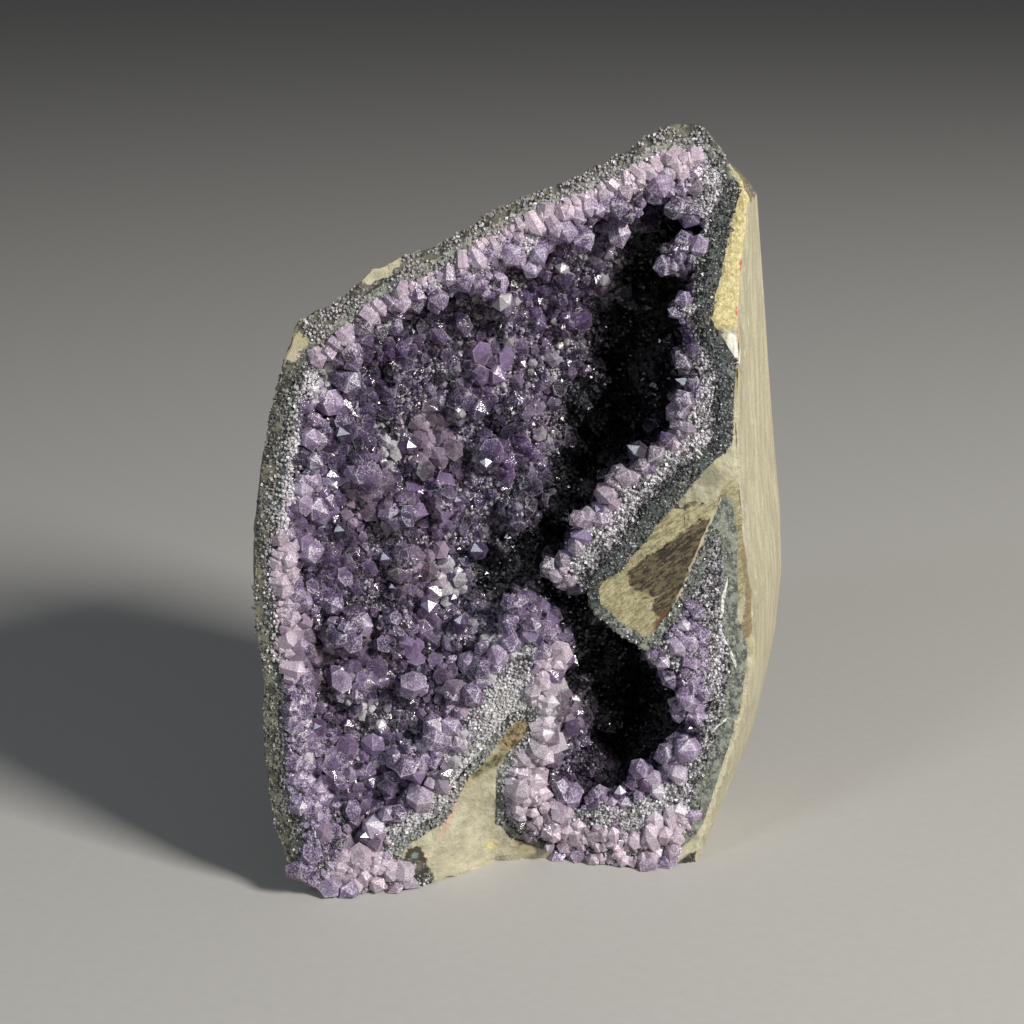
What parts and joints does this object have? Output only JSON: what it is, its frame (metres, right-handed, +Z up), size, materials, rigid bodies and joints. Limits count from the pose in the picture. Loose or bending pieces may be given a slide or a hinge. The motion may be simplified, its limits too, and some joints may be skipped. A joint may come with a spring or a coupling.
{
  "type": "amethyst geode",
  "caption": "Upright broken geode on a flat sawn base: a basalt lump whose hollow is lined with a dark chalcedony rind and a crust of amethyst points.",
  "frame": {"origin": "middle of the bounding box, on the plane of the sawn base", "axes": "+Z up, -Y towards the viewer of the broken face, +X to the viewer's right"},
  "size_m": [0.1402, 0.0976, 0.191],
  "materials": {
    "basalt": "matte",
    "rind": "satin",
    "amethyst": "gloss"
  },
  "bodies": {
    "root": {"basalt_matrix": "basalt", "chalcedony_rind": "rind", "amethyst_crust": "amethyst"}
  },
  "joints": []
}
